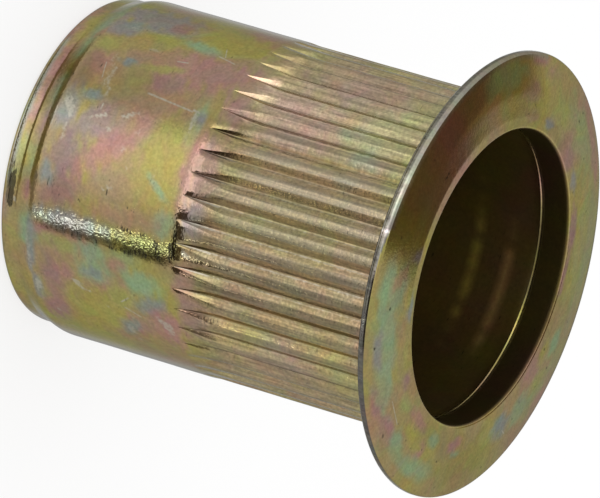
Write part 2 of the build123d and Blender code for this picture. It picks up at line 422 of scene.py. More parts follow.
faceClouds = [
    (-157, 8.1, 1.2, 0.5, 0, 0.08), (-178, 8.5, 0.6, 0.25, 0, 0.62), (-186, 8.1, 0.6, 0.25, 0, 0.64),
    (-172, 7.3, 0.7, 0.4, 0, 0.52), (-190, 7.9, 1.0, 0.4, 0, 0.38), (-196, 7.2, 1.2, 0.5, 0, 0.27),
    (-190, 6.4, 0.4, 0.2, 0, 0.95), (-175, 6.4, 0.7, 0.25, 0, 0.48), (-214, 6.3, 0.6, 0.3, 0, 0.66),
    (-226, 6.3, 0.5, 0.25, 0, 0.92), (-232, 6.6, 0.6, 0.25, 0, 0.36), (-245, 6.2, 1.0, 0.3, 0, 0.72),
    (-262, 6.05, 0.8, 0.2, 0, 0.66), (-216, 7.6, 1.6, 0.7, 0, 0.20), (-255, 7.6, 2.4, 0.9, 0, 0.23),
    (-226, 8.3, 1.4, 0.3, 0, 0.56), (75, 7.2, 0.5, 0.35, 0, 0.03), (70, 6.6, 0.5, 0.25, 0, 0.33),
    (61, 6.3, 0.5, 0.2, 0, 0.62), (60, 7.6, 1.2, 0.6, 0, 0.24), (50, 7.3, 0.8, 0.5, 0, 0.10),
    (38, 7.0, 0.7, 0.5, 0, 0.98), (24, 7.4, 1.2, 0.7, 0, 0.28), (8, 6.6, 0.5, 0.25, 0, 0.60),
    (10, 7.0, 0.3, 0.15, 0, 0.06), (-8, 6.6, 0.4, 0.3, 0, 0.05), (5, 7.6, 0.8, 0.4, 0, 0.38),
    (15, 8.3, 0.9, 0.3, 0, 0.40), (-14, 7.3, 0.35, 0.4, 0, 0.60), (-21, 7.1, 0.8, 0.35, 0, 0.29),
    (-24, 6.5, 0.8, 0.25, 0, 0.58), (-36, 6.7, 0.5, 0.3, 0, 0.22), (-35, 8.0, 0.6, 0.35, 0, 0.66),
    (-46, 8.2, 0.7, 0.35, 0, 0.66), (-28, 7.8, 0.45, 0.3, 0, 0.06), (-20, 8.1, 0.8, 0.3, 0, 0.14),
    (-9.8, 7.9, 0.9, 0.35, 0, 0.05), (-66, 7.7, 2.2, 0.65, 0, 0.12), (-45, 6.5, 0.4, 0.25, 0, 0.70),
    (-53, 6.7, 1.0, 0.25, 0, 0.44), (-52.5, 7.6, 0.8, 0.35, 0, 0.02), (-62, 7.3, 0.6, 0.3, 0, 0.08),
    (-62, 8.1, 0.6, 0.25, 0, 0.92), (-56.5, 6.3, 0.4, 0.15, 0, 0.26), (-38, 6.3, 0.5, 0.2, 0, 0.46),
    (-73, 7.0, 0.4, 0.3, 0, 0.34), (-72, 6.2, 0.6, 0.15, 0, 0.95), (-80, 7.1, 0.9, 0.4, 0, 0.12),
    (-83, 7.3, 0.25, 0.8, 45, 0.52), (-90, 6.5, 0.35, 0.3, 0, 0.86), (-80, 8.1, 0.9, 0.3, 0, 0.03),
    (-86, 6.6, 0.3, 0.3, 0, 0.26), (-48, 7.9, 0.6, 0.3, 0, 0.15),
]
# pale worn flecks on the barrel, the one at -68.6 and 8.45 a painted glint: azimuth, height, reach round
# and along, lean, strength
barrelFlecks = [
    (-143, 2.5, 0.25, 0.15, 0, 0.6), (-121, 3.0, 0.7, 0.14, 0, 0.7), (-116, 3.2, 0.6, 0.14, -20, 0.7),
    (-126, 2.8, 0.6, 0.1, -15, 0.5), (-107, 1.9, 0.4, 0.2, 0, 0.9), (-104, 2.2, 0.4, 0.14, -20, 0.8),
    (-101.5, 1.55, 0.5, 0.1, 0, 0.8), (-97, 2.2, 0.4, 0.07, 0, 0.6), (-105.3, 3.45, 0.12, 0.36, -24, 1.1),
    (-108.3, 4.6, 0.14, 0.36, -30, 0.9), (-101.7, 4.0, 0.14, 0.2, -30, 0.9), (-97, 5.0, 0.3, 0.12, 0, 0.5),
    (-103.5, 5.2, 0.2, 0.14, 0, 0.5), (-91, 5.3, 0.1, 0.2, 0, 0.5), (-82.6, 4.6, 0.1, 0.34, -24, 0.8),
    (-91.5, 6.5, 0.3, 0.14, 0, 0.35), (-46.5, 3.7, 0.12, 0.4, 25, 0.8), (-44.5, 4.0, 0.1, 0.3, 10, 0.7),
    (-40, 4.9, 0.1, 0.14, 0, 0.6), (-40.5, 1.75, 0.5, 0.12, 0, 0.9), (-31, 5.7, 0.35, 0.2, 30, 0.7),
    (-20, 2.6, 0.08, 0.35, 0, 0.7), (-39, 7.5, 0.3, 0.4, 25, 0.8), (-35, 7.7, 0.4, 0.12, 30, 0.6),
    (-55, 1.5, 0.9, 0.12, 0, 0.5), (-26, 5.9, 0.2, 0.2, 0, 0.5), (-135, 4.0, 0.12, 0.3, 0, 0.5),
    (-116, 7.12, 0.16, 0.12, 0, 1.1), (-112, 7.25, 0.4, 0.06, 0, 0.9), (-47, 6.9, 0.2, 0.2, 0, 0.4),
    (-68.6, 8.45, 0.13, 0.16, 0, 1.3), (-30, 2.3, 0.1, 0.12, 0, 0.8), (-69.8, 0.66, 0.14, 0.12, 0, 1.2),
]
# dark marks on the barrel: painted shade in the corner of the step, along the dark reflected band beside
# the slit and at the points of the lower flutes, and smudges and a nick in the nose
barrelMarksAndShade = [
    (-78.5, 8.0, 0.3, 0.07, 0, 0.5), (-74.0, 7.98, 0.35, 0.12, 0, 0.7), (-70.6, 7.95, 0.25, 0.24, 0, 0.9),
    (-66.0, 7.95, 0.2, 0.22, 0, 0.7), (-70.8, 8.7, 0.1, 0.3, 0, 0.6), (-64.6, 6.4, 0.16, 1.5, -4, 0.62),
    (-64.6, 4.2, 0.08, 1.6, -3, 0.35), (-71.2, 6.3, 0.12, 1.4, 3, 0.4), (-71.0, 3.4, 0.06, 1.6, 3, 0.3),
    (-68.4, 7.2, 0.3, 0.4, 0, 0.55), (-74.5, 0.46, 1.0, 0.11, 0, 1.7), (-87.0, 0.58, 0.6, 0.03, 0, 0.6),
    (-76.5, 3.7, 0.1, 0.1, 0, 0.7), (-81.5, 4.7, 0.12, 0.1, 0, 0.6), (-78.5, 5.9, 0.05, 0.25, 20, 0.5),
    (-76.5, 2.6, 0.04, 0.7, 8, 0.6), (-80.0, 2.3, 0.3, 0.2, 0, 0.45), (-32.9, 9.4, 0.14, 0.3, 0, 1.3),
    (-25.0, 9.7, 0.16, 0.3, 0, 1.4), (-40.9, 9.3, 0.1, 0.26, 0, 1.0), (-17.2, 9.9, 0.18, 0.25, 0, 1.3),
]
# places where the plating is darker or lighter: azimuth, height, reach round and along, lean, tone. Some on
# the barrel are painted light: painted shade along the dark reflected band beside the slit and at the
# points of the lower flutes, and a painted highlight on the nose end
barrelTonesAndPaintedLight = [
    (-79.2, 2.7, 0.6, 0.5, 0, 0.9), (-132, 6.7, 0.9, 1.6, 0, 1.08), (-124, 2.0, 0.5, 0.4, 0, 0.85),
    (-118, 4.0, 0.8, 1.2, 0, 0.9), (-90, 2.6, 1.0, 0.7, 0, 0.9), (-68.4, 6.5, 0.3, 1.3, 0, 0.8),
    (-64.8, 6.6, 0.2, 1.5, 0, 0.35), (-65.0, 3.6, 0.17, 1.7, 0, 0.5), (-117.7, 2.0, 0.5, 0.5, 0, 0.78),
    (-98, 1.15, 2.6, 0.13, 0, 0.83), (-48.8, 9.4, 0.1, 0.26, 0, 0.4), (-41.4, 9.5, 0.12, 0.28, 0, 0.35),
    (-32.7, 9.65, 0.14, 0.3, 0, 0.3), (-33.3, 10.3, 0.1, 0.2, 0, 0.45), (-24.5, 9.4, 0.14, 0.3, 0, 0.35),
    (-17, 9.7, 0.14, 0.3, 0, 0.4), (-96, 0.52, 3.0, 0.16, 0, 1.32), (-100, 0.2, 3.4, 0.16, 0, 1.4),
]
faceTones = [
    (15, 7.5, 1.6, 0.9, 0, 0.84), (0, 6.5, 2.4, 0.5, 0, 0.9), (180, 6.2, 3.5, 0.35, 0, 0.85),
    (90, 6.2, 2.5, 0.3, 0, 0.88),
]

# rougher places: azimuth, height, reach round and along, lean, and how many times as high the grain is
coarsePlaces = [
    (-68.5, 3.2, 0.5, 1.8, 0, 1.5), (-68.5, 6.6, 0.5, 1.2, 0, 1.6), (-71, 7.9, 1.2, 0.25, 0, 2.4),
    (-68.1, 8.5, 0.3, 0.3, 0, 0.8), (-98, 1.1, 4.5, 0.5, 0, 0.4),
]

# faint rings in the bore: azimuth, height, reach round and along, lean, film
boreRings = [(92, 14.4, 3.6, 0.13, 0, 0.28), (84, 15.8, 2.8, 0.12, 0, 0.5)]

# how the places above are painted on: a tone is times the film's brightness, a coarse value times the
# height of its grain
paint = {
    "ragged": 0.32,              # how uneven the edges of the places are
    "ground": 0.42,              # film between the clouds, and how far it drifts
    "groundDrift": 0.14,
    "ringStrength": 1.6,
    "ringGlow": 1.2,
    "boreTone": 1.1,
    "mouthTone": 0.48,           # painted shade on the wall between the flange face and the bead
    # painted highlight on the lip of the mouth
    "lipTone": 1.3,
    "knurlShare": 0.48,          # how far the knurled length takes its own colour
    "knurlCoarse": 1.15,
    "dullFlanks": (-111, -94),   # azimuths between which one flank of each flute is dull
    "dullFlankCoarse": 2.2,
    "smoothCoarse": 0.25,        # on the flange face and in the bore
    "tintedFrom": -113,          # past this azimuth the flanks are tinted by their side as painted shade, before it lightened as painted highlight
    "flankTints": (0.72, 0.95, 1.08),
    "tintPowers": (0.06, 0.42, 1.0),
    "pointFade": (9.0, 9.7),     # heights over which a flank leaves the tone of its point
    "crestFade": (8.4, 9.6),     # heights over which the crests take their own tone and where they start to turn pale, partly wear and partly painted highlight
    "rubbedFade": (9.4, 10.4),   # and where they start to be rubbed
    "knurlFade": (8.0, 9.8),     # heights over which the knurl's colour comes in
    "toneFade": (7.98, 8.25),    # the same for the flutes' tones, and then for their streaks
    "streakFade": (8.3, 9.6),
    "rootLine": 0.98,            # share of the groove's depth from which it is the root line and between which the painted glints are
    "sparkBand": (0.75, 0.97),   # and between which the sparks are
    "tipSparks": 1.3,            # how many times more the painted glints show at the flutes' points
    "rimShade": 0.45,            # painted shade on the sheared rim next to the seat, on its bright side
    "rimBrightTo": -97,
    "rimNarrow": (-106, -84),    # azimuths over which the sheared band narrows by rimDrop
    "rimDrop": 0.21,
}

# painted highlight along the bead in the mouth: azimuth, tone
beadHighlights = [
    (-180, 0.9), (0, 1.0), (40, 1.0), (62, 1.3), (72, 2.4), (80, 1.3), (88, 0.5), (112, 0.5), (121, 0.9),
    (130, 1.6), (140, 0.9), (180, 0.9),
]

# the sheared rim's colour by azimuth: brighter on one side as painted highlight, with two narrow painted
# glints, and dark on the other
rimColoursAndGlints = [
    (-180, (0.22, 0.19, 0.13)), (-158, (0.22, 0.20, 0.14)), (-140, (0.26, 0.24, 0.18)),
    (-126, (0.32, 0.30, 0.24)), (-112, (0.43, 0.40, 0.31)), (-108.8, (0.45, 0.42, 0.33)),
    (-108, (0.85, 0.83, 0.76)), (-107.2, (0.45, 0.42, 0.33)), (-104, (0.47, 0.43, 0.34)),
    (-97, (0.24, 0.23, 0.20)), (-94.9, (0.2, 0.19, 0.17)), (-94.2, (0.8, 0.78, 0.74)),
    (-93.5, (0.17, 0.16, 0.14)), (-88, (0.10, 0.095, 0.085)), (-30, (0.085, 0.08, 0.072)),
    (-8, (0.20, 0.18, 0.12)), (20, (0.25, 0.22, 0.13)), (180, (0.22, 0.19, 0.13)),
]

# painted shade and highlight on the flutes round the nut, each flank darker or brighter by the way it
# faces:
# azimuth, tone of the flank before each root and of that flank at the flute's point, tone of the flank
# after the root, of the root line and of the crest, how pale the crest is, partly wear and partly painted
# highlight, and how bright the painted glints beside the root are
flankShadeAndHighlights = [
    (-170, 1.0, 1.3, 1.2, 0.9, 1.0, 0.15, 0.0), (-154, 1.1, 1.9, 1.8, 0.9, 1.0, 0.15, 0.2),
    (-146, 1.1, 2.1, 2.0, 1.0, 1.2, 0.15, 0.2), (-138, 1.05, 2.1, 2.1, 1.0, 1.4, 0.15, 0.2),
    (-130, 1.0, 1.8, 2.1, 0.9, 1.4, 0.2, 0.3), (-122, 0.95, 0.7, 1.6, 0.9, 1.1, 0.2, 0.3),
    (-114, 0.85, 0.25, 1.3, 0.8, 0.74, 0.4, 0.35), (-106, 0.74, 0.25, 0.9, 0.8, 0.8, 0.7, 0.4),
    (-98, 0.66, 0.40, 0.9, 1.0, 0.84, 0.7, 0.45), (-90, 0.68, 0.5, 0.95, 1.1, 0.84, 0.6, 0.5),
    (-82, 0.70, 0.5, 0.95, 1.1, 0.78, 0.5, 0.65), (-75, 0.75, 0.6, 0.8, 1.1, 0.6, 0.4, 0.75),
    (-67, 0.72, 0.7, 0.85, 1.1, 0.6, 0.2, 0.6), (-59, 0.85, 0.9, 0.92, 1.1, 0.62, 0.2, 0.4),
    (-52, 1.3, 0.6, 1.15, 1.1, 0.8, 0.2, 0.3), (-46, 1.4, 0.45, 1.6, 1.1, 0.8, 0.2, 0.1),
    (-39, 1.2, 0.4, 1.4, 1.0, 0.9, 0.3, 0.1), (-31, 1.1, 0.4, 1.0, 0.9, 0.9, 0.3, 0.1),
    (-20, 1.1, 0.5, 1.0, 0.9, 0.9, 0.3, 0.1), (0, 1.0, 1.0, 1.0, 0.9, 1.0, 0.3, 0.0),
]


def filmColour(value):
    # the film's colour at its thickness, between the nearest two steps
    places = [place for place, colour in zinc["filmColours"]]
    channels = zip(*[colour for place, colour in zinc["filmColours"]])
    return np.stack([np.interp(value, places, channel) for channel in channels], axis=-1)


def paintPatches(ground, azimuth, along, level, patches, reaches=(1.5, 1.0)):
    # over the ground, each patch turns the value to its own inside an oval with a soft uneven edge
    painted = ground.copy()
    colours = painted.ndim > azimuth.ndim
    ragged = slowWaves(azimuth, along, 21, (0.6, 1.2)) * paint["ragged"]
    for place, middle, around, length, lean, value in patches:
        across = np.angle(np.exp(1j * (azimuth - math.radians(place)))) * level
        ahead = along - middle
        turned = math.radians(lean)
        lengthways = (ahead * math.cos(turned) + across * math.sin(turned)) / length
        sideways = (across * math.cos(turned) - ahead * math.sin(turned)) / around
        cover = smoothStep(reaches[0] - np.hypot(lengthways, sideways) + ragged, 0, reaches[1])
        if colours:
            value, cover = filmColour(value), cover[..., None]
        painted += (value - painted) * cover
    return painted


azimuthGrid, radiusGrid, heightGrid, grooveGrid, sideGrid, onFace, inBore = nutSurface()
rowCount, columnCount = azimuthGrid.shape
degreesGrid = np.degrees(np.angle(np.exp(1j * azimuthGrid)))    # from -180 to 180
beadHeight = nut["height"] - nut["mouthDepth"] + nut["bead"] / 2
onBead = inBore & (np.abs(heightGrid - beadHeight) < 0.06)
onLip = (radiusGrid < nut["mouthRadius"] + 0.09) & (heightGrid > nut["height"] - 0.06)
onKnurl = (heightGrid > flutes["start"]) & ~onFace & ~inBore
onRim = (radiusGrid > nut["flangeRadius"] - 0.12) & (heightGrid > nut["seatHeight"] - 0.01)
rimNarrowed = paint["rimDrop"] * smoothStep(degreesGrid, *paint["rimNarrow"])
onRim &= heightGrid < nut["rimFront"] + 0.12 - rimNarrowed
zeros, ones = np.zeros_like(heightGrid), np.ones_like(heightGrid)


def paintBarrel(ground, patches, reaches=(1.5, 1.0)):
    return paintPatches(ground, azimuthGrid, heightGrid, nut["barrelRadius"], patches, reaches)


def paintFace(ground, patches):
    # by radius instead of height; the reach round is still taken at the barrel
    return paintPatches(ground, azimuthGrid, radiusGrid, nut["barrelRadius"], patches)


def cloudedFilm():
    # the film's colour on the barrel, in the bore with its rings, and on the flange face
    drift = slowWaves(azimuthGrid, heightGrid, 3, (2.0, 4.0))
    ground = filmColour(paint["ground"] + paint["groundDrift"] * drift)
    ringCover = paintBarrel(zeros, [(*ring[:5], paint["ringStrength"]) for ring in boreRings])
    bore = paintBarrel(ground, boreRings) * (1 + paint["ringGlow"] * ringCover)[..., None]
    barrel = np.where(inBore[..., None], bore, paintBarrel(ground, barrelClouds))
    return np.where(onFace[..., None], paintFace(ground, faceClouds), barrel)


def placeTones():
    # how bright the film is at each place, the later ones over the earlier, with painted shade on the mouth
    # wall and painted highlight on the bead and the lip
    tones = np.where(onFace, paintFace(ones, faceTones), paintBarrel(ones, barrelTonesAndPaintedLight))
    tones = np.where(inBore, paint["boreTone"], tones)
    tones = np.where(inBore & (heightGrid > beadHeight), paint["mouthTone"], tones)
    tones = np.where(onBead, np.interp(degreesGrid, *zip(*beadHighlights)), tones)
    return np.where(onLip, paint["lipTone"], tones)


def fluteValues():
    # each column of the flutes' painted shade and highlight, eased from one azimuth to the next
    places, *columns = zip(*flankShadeAndHighlights)
    return [np.interp(degreesGrid, places, column) for column in columns]


def fluteTones(before, atPoint, after, root, crest):
    # the painted shade and highlight of each flank, of the crest between flutes and of the root line
    before = before + (atPoint - before) * (1 - smoothStep(heightGrid, *paint["pointFade"]))
    crest = 1 + (crest - 1) * smoothStep(heightGrid, *paint["crestFade"])
    tone = np.where(sideGrid < 0, before, np.where(sideGrid > 0, after, crest))
    return np.where((grooveGrid > paint["rootLine"]) & onKnurl, root, tone)


def fluteTint():
    # the film's tint on the flutes by the side of the groove each flank is on, part of their painted shade:
    # a tint's power for each channel
    one, other, lightened = paint["flankTints"]
    tint = np.where(sideGrid < 0, one, np.where(sideGrid > 0, other, 1.0))
    tint = np.where(degreesGrid > paint["tintedFrom"], tint, lightened)
    return tint[..., None] ** np.array(paint["tintPowers"])


def rimFilm():
    # the sheared rim's colour with its painted highlight and glints, and painted shade next to the seat on
    # its bright side
    places, colours = zip(*rimColoursAndGlints)
    film = np.stack([np.interp(degreesGrid, places, channel) for channel in zip(*colours)], axis=-1)
    front = smoothStep(heightGrid, nut["seatHeight"] + 0.25, nut["rimFront"] - 0.12)
    shade = paint["rimShade"] + (1 - paint["rimShade"]) * front
    return film * np.where(degreesGrid < paint["rimBrightTo"], shade, 1)[..., None]


def platingColour(tone):
    # the plating's whole colour: film x tone, turned towards the knurl's own colour on the flutes, with the
    # flutes' painted shade and highlight
    film = cloudedFilm() * placeTones()[..., None]
    share = onKnurl * paint["knurlShare"] * smoothStep(heightGrid, *paint["knurlFade"])
    film = film + (np.array(zinc["knurl"]) - film) * share[..., None]
    tone = 1 + (tone - 1) * smoothStep(heightGrid, *paint["toneFade"])
    film = film * np.where(onKnurl, tone, 1)[..., None]
    film = film * np.where(onKnurl[..., None], fluteTint(), 1)
    return np.where(onRim[..., None], rimFilm(), film)


def coarseness():
    # how many times as high the grain is at each place
    coarse = paintBarrel(ones, coarsePlaces)
    coarse = np.where(onKnurl & (heightGrid > 8.6), paint["knurlCoarse"], coarse)
    low, high = paint["dullFlanks"]
    dull = onKnurl & (sideGrid < 0) & (degreesGrid > low) & (degreesGrid < high)
    coarse = np.where(dull, paint["dullFlankCoarse"], coarse)
    return np.where(onFace | inBore, paint["smoothCoarse"], coarse)


def palePlaces(paintedGlints):
    # the pale worn flecks on the barrel, and the painted glints beside the roots of the flutes
    flecks = np.where(onFace | inBore, 0, paintBarrel(zeros, barrelFlecks, (1.1, 0.5)))
    paintedGlints = paintedGlints * (1 + paint["tipSparks"] * ((heightGrid < 9.3) & (degreesGrid < -60)))
    low, high = paint["sparkBand"]
    paintedGlints = paintedGlints * (onKnurl & (sideGrid > 0) & (grooveGrid > low) & (grooveGrid < high))
    return np.maximum(flecks, paintedGlints)


def addNut():
    points = [radiusGrid * np.cos(azimuthGrid), radiusGrid * np.sin(azimuthGrid), heightGrid]
    points = np.stack(points, axis=-1).reshape(-1, 3) * mm
    mesh = meshFromGrid("rivetNutBody", points, gridFaces(rowCount, columnCount))
    before, atPoint, after, root, crest, rubbed, paintedGlints = fluteValues()
    marksAndShade = np.where(onFace | inBore, 0, paintBarrel(zeros, barrelMarksAndShade, (1.1, 0.6)))
    crests = 1 - smoothStep(grooveGrid, 0.02, 0.3)
    crests = crests * smoothStep(heightGrid, *paint["rubbedFade"]) * onKnurl
    deep = smoothStep(heightGrid, nut["threadTop"], nut["chamberFloor"])
    setAttribute(mesh, "smudge", marksAndShade)
    setAttribute(mesh, "knurled", onKnurl * smoothStep(heightGrid, *paint["streakFade"]))
    setAttribute(mesh, "groove", grooveGrid * onKnurl)
    setAttribute(mesh, "inside", inBore * ~onBead * deep)
    setAttribute(mesh, "coarse", coarseness())
    setAttribute(mesh, "pale", palePlaces(paintedGlints))
    setAttribute(mesh, "crest", crests * rubbed)
    colour = platingColour(fluteTones(before, atPoint, after, root, crest))
    setAttribute(mesh, "plating", colour, "FLOAT_VECTOR", "vector")
    nutObject = bpy.data.objects.new("rivetNutBody", mesh)
    scene.collection.objects.link(nutObject)
    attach(nutObject, "root")
    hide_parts("rivet_nut")
    return mesh


nutMesh = addNut()
print("nut meshed:", rowCount, "rows by", columnCount, "columns,", rowCount * columnCount * 2, "triangles")


# fine scratches: where they are, from and to as (azimuth, height) or (azimuth, radius), and width in mm
scratches = [
    ("barrel", (-117.6, 4.9), (-115.6, 7.0), 0.06),
    ("barrel", (-124.5, 2.55), (-118.5, 2.75), 0.035),
    ("barrel", (-109.6, 3.35), (-107.6, 3.35), 0.05),
    ("barrel", (-145.6, 6.5), (-141.2, 6.75), 0.035),
    ("barrel", (-140.8, 6.5), (-139.2, 7.3), 0.045),
    ("barrel", (-133.0, 5.2), (-133.6, 5.6), 0.05),
    ("barrel", (-116.2, 7.05), (-115.8, 7.3), 0.07),
    ("barrel", (-115.6, 7.2), (-110.6, 7.22), 0.05),
    ("barrel", (-44.0, 5.6), (-46.5, 5.95), 0.05),
    ("barrel", (-42.0, 5.7), (-39.5, 6.4), 0.035),
    ("face", (-204.0, 6.5), (-207.0, 6.9), 0.035),
    ("face", (-206.5, 6.3), (-207.5, 6.75), 0.04),
    ("face", (-42.5, 7.45), (-33.0, 7.5), 0.03),
    ("face", (40.0, 7.3), (41.5, 7.6), 0.04),
]


# sizes of the plating's clouds, mottling and streaks, in metres
tintSizes = {"cloud": 1.1 * mm, "mottle": 0.22 * mm, "streak": 0.09 * mm}


def filmTintGroup():
    # the plating's colour, each of its channels varied by clouds, fine mottling and streaks along the axis
    tree, given, result = newGroup(
        "filmTint",
        [
            ("Place", "NodeSocketVector", None),
            ("Plating", "NodeSocketColor", None),
            ("Drift", "NodeSocketFloat", 0.2),
            ("Streaks", "NodeSocketFloat", 0.0),
        ],
        [("Tint", "NodeSocketColor")],
    )
    half = (0.5, 0.5, 0.5, 1.0)
    cloudy = noiseAt(
        tree, given["Place"], tintSizes["cloud"], output="Color", Detail=4.0, Roughness=0.55, Distortion=0.8
    )
    mottled = noiseAt(tree, given["Place"], tintSizes["mottle"], Detail=3.0)
    drawnOut = noiseAt(tree, given["Place"], tintSizes["streak"], (1.0, 1.0, 18.0), Detail=2.5)
    drift = mixColour(tree, given["Drift"], half, mixColour(tree, 0.35, cloudy, mottled))
    streaky = mixColour(tree, given["Streaks"], half, drawnOut)
    tint = mixColour(tree, 1.0, given["Plating"], drift, "MULTIPLY")
    tint = mixColour(tree, 1.0, tint, streaky, "MULTIPLY")
    tint = mixColour(tree, 1.0, tint, (4.0, 4.0, 4.0, 1.0), "MULTIPLY")    # both means are a half
    tree.links.new(tint, result["Tint"])
    return tree


# sizes of the strokes running round the nut and of the specks between them, in metres
grainSizes = {"stroke": 0.065 * mm, "speck": 0.12 * mm}


def fineGrainGroup():
    # short strokes running round the nut and specks between them, as a height and as a brightness near 1
    tree, given, result = newGroup(
        "fineGrain",
        [("Place", "NodeSocketVector", None), ("Contrast", "NodeSocketFloat", 0.1)],
        [
            ("Shade", "NodeSocketFloat"),
            ("Height", "NodeSocketFloat"),
            ("Speck", "NodeSocketFloat"),
            ("Hair", "NodeSocketFloat"),
        ],
    )
    strokes = noiseAt(tree, given["Place"], grainSizes["stroke"], (5.0, 5.0, 1.0), Detail=1.5)
    specks = noiseAt(tree, given["Place"], grainSizes["speck"], Detail=1.0, Roughness=0.6)
    mixed = calc(tree, "ADD", calc(tree, "MULTIPLY", strokes, 0.15), calc(tree, "MULTIPLY", specks, 0.85))
    shade = calc(tree, "MULTIPLY_ADD", calc(tree, "SUBTRACT", specks, 0.5), given["Contrast"], 1.0)
    tree.links.new(shade, result["Shade"])
    tree.links.new(mixed, result["Height"])
    tree.links.new(specks, result["Speck"])
    tree.links.new(strokes, result["Hair"])
    return tree


def scratchGroup():
    # 1 within `Width` of the straight line between two places, 0 away from it
    tree, given, result = newGroup(
        "scratch",
        [
            ("Place", "NodeSocketVector", None),
            ("From", "NodeSocketVector", None),
            ("To", "NodeSocketVector", None),
            ("Width", "NodeSocketFloat", 0.1),
        ],
        [("Mask", "NodeSocketFloat")],
    )

    def vectors(operation, first, second, output=0):
        made = addNode(tree, "ShaderNodeVectorMath", {0: first, 1: second}, operation=operation)
        return made.outputs[output]

    reach = vectors("SUBTRACT", given["Place"], given["From"])
    line = vectors("SUBTRACT", given["To"], given["From"])
    along, squared = vectors("DOT_PRODUCT", reach, line, 1), vectors("DOT_PRODUCT", line, line, 1)
    share = addNode(tree, "ShaderNodeClamp", {"Value": calc(tree, "DIVIDE", along, squared)}).outputs[0]
    nearest = addNode(tree, "ShaderNodeVectorMath", {0: line, "Scale": share}, operation="SCALE").outputs[0]
    gap = vectors("DISTANCE", reach, nearest, 1)
    core = calc(tree, "MULTIPLY", given["Width"], 0.3)
    tree.links.new(easeBetween(tree, gap, core, given["Width"], 1, 0), result["Mask"])
    return tree


filmTint = filmTintGroup()
fineGrain = fineGrainGroup()
scratch = scratchGroup()


def placeOn(surface, azimuth, along):
    # a point on the barrel at a height, or on the flange face at a radius
    turned = math.radians(azimuth)
    radius, height = (nut["barrelRadius"], along) if surface == "barrel" else (along, nut["crownHeight"])
    return (radius * math.cos(turned) * mm, radius * math.sin(turned) * mm, height * mm)


def allScratches(tree, place):
    # the strongest of all the scratches at each place
    strongest = 0.0
    for surface, start, end, width in scratches:
        ends = {"From": placeOn(surface, *start), "To": placeOn(surface, *end)}
        inputs = {"Place": place, "Width": width * mm, **ends}
        strongest = calc(tree, "MAXIMUM", placeGroup(tree, scratch, inputs)["Mask"], strongest)
    return strongest


def zincMaterial():
    material, tree = newMaterial("yellowZinc")

    def painted(name):
        return addNode(tree, "ShaderNodeAttribute", attribute_name=name).outputs["Fac"]

    place = addNode(tree, "ShaderNodeTexCoord").outputs["Object"]
    plating = addNode(tree, "ShaderNodeAttribute", attribute_name="plating").outputs["Color"]
    groove, inside, knurled = painted("groove"), painted("inside"), painted("knurled")
    streaks = calc(tree, "MULTIPLY", knurled, zinc["streaks"])
    inputs = {"Place": place, "Plating": plating, "Drift": zinc["drift"], "Streaks": streaks}
    tint = placeGroup(tree, filmTint, inputs)["Tint"]
    contrast = calc(tree, "MULTIPLY_ADD", knurled, zinc["fluteContrast"], zinc["contrast"])
    grain = placeGroup(tree, fineGrain, {"Place": place, "Contrast": contrast})
    colour = mixColour(tree, 1.0, tint, grain["Shade"], "MULTIPLY")
    rubbed = calc(tree, "MULTIPLY", painted("crest"), zinc["rubbed"])
    colour = mixColour(tree, rubbed, colour, zinc["crest"])

    # pale where the worn flecks and the painted glints are, broken up by the specks, and along the
    # scratches
    speck = calc(tree, "MULTIPLY", calc(tree, "SUBTRACT", grain["Speck"], 0.5), zinc["wornSpeckle"])
    worn = easeBetween(tree, calc(tree, "ADD", painted("pale"), speck), *zinc["wornFade"])
    scratched = calc(tree, "MULTIPLY", grain["Speck"], zinc["scratchShine"])
    scratched = calc(tree, "MULTIPLY", allScratches(tree, place), scratched)
    worn = calc(tree, "MAXIMUM", worn, scratched)
    colour = mixColour(tree, calc(tree, "MULTIPLY", worn, zinc["wornShare"]), colour, zinc["worn"])

    # dark marks and painted shade with a hairy edge, then the bore darkened as painted shade
    hair = calc(tree, "MULTIPLY", calc(tree, "SUBTRACT", grain["Hair"], 0.5), zinc["sootHair"])
    markedDark = easeBetween(tree, calc(tree, "ADD", painted("smudge"), hair), *zinc["sootFade"])
    colour = mixColour(tree, calc(tree, "MULTIPLY", markedDark, zinc["sootShare"]), colour, zinc["soot"])
    colour = mixColour(tree, inside, colour, mixColour(tree, 1.0, colour, zinc["bore"], "MULTIPLY"))

    height = calc(tree, "MULTIPLY", grain["Height"], painted("coarse"))
    inputs = {"Strength": 1.0, "Distance": zinc["grainHeight"], "Height": height}
    bump = addNode(tree, "ShaderNodeBump", inputs)
    grimy = calc(tree, "MAXIMUM", groove, inside)
    dull = calc(tree, "MULTIPLY_ADD", groove, zinc["grooveDull"], inside)
    shader = addNode(tree, "ShaderNodeBsdfPrincipled", {
        "Base Color": colour,
        "Metallic": calc(tree, "MULTIPLY_ADD", grimy, -zinc["grime"], zinc["metal"]),
        "Roughness": calc(tree, "MULTIPLY_ADD", dull, zinc["dull"], zinc["roughness"]),
        "Specular Tint": zinc["edgeTint"],
        "Normal": bump.outputs[0],
    })
    output = addNode(tree, "ShaderNodeOutputMaterial")
    tree.links.new(shader.outputs[0], output.inputs[0])
    return material


nutMesh.materials.append(zincMaterial())
print("materials made")


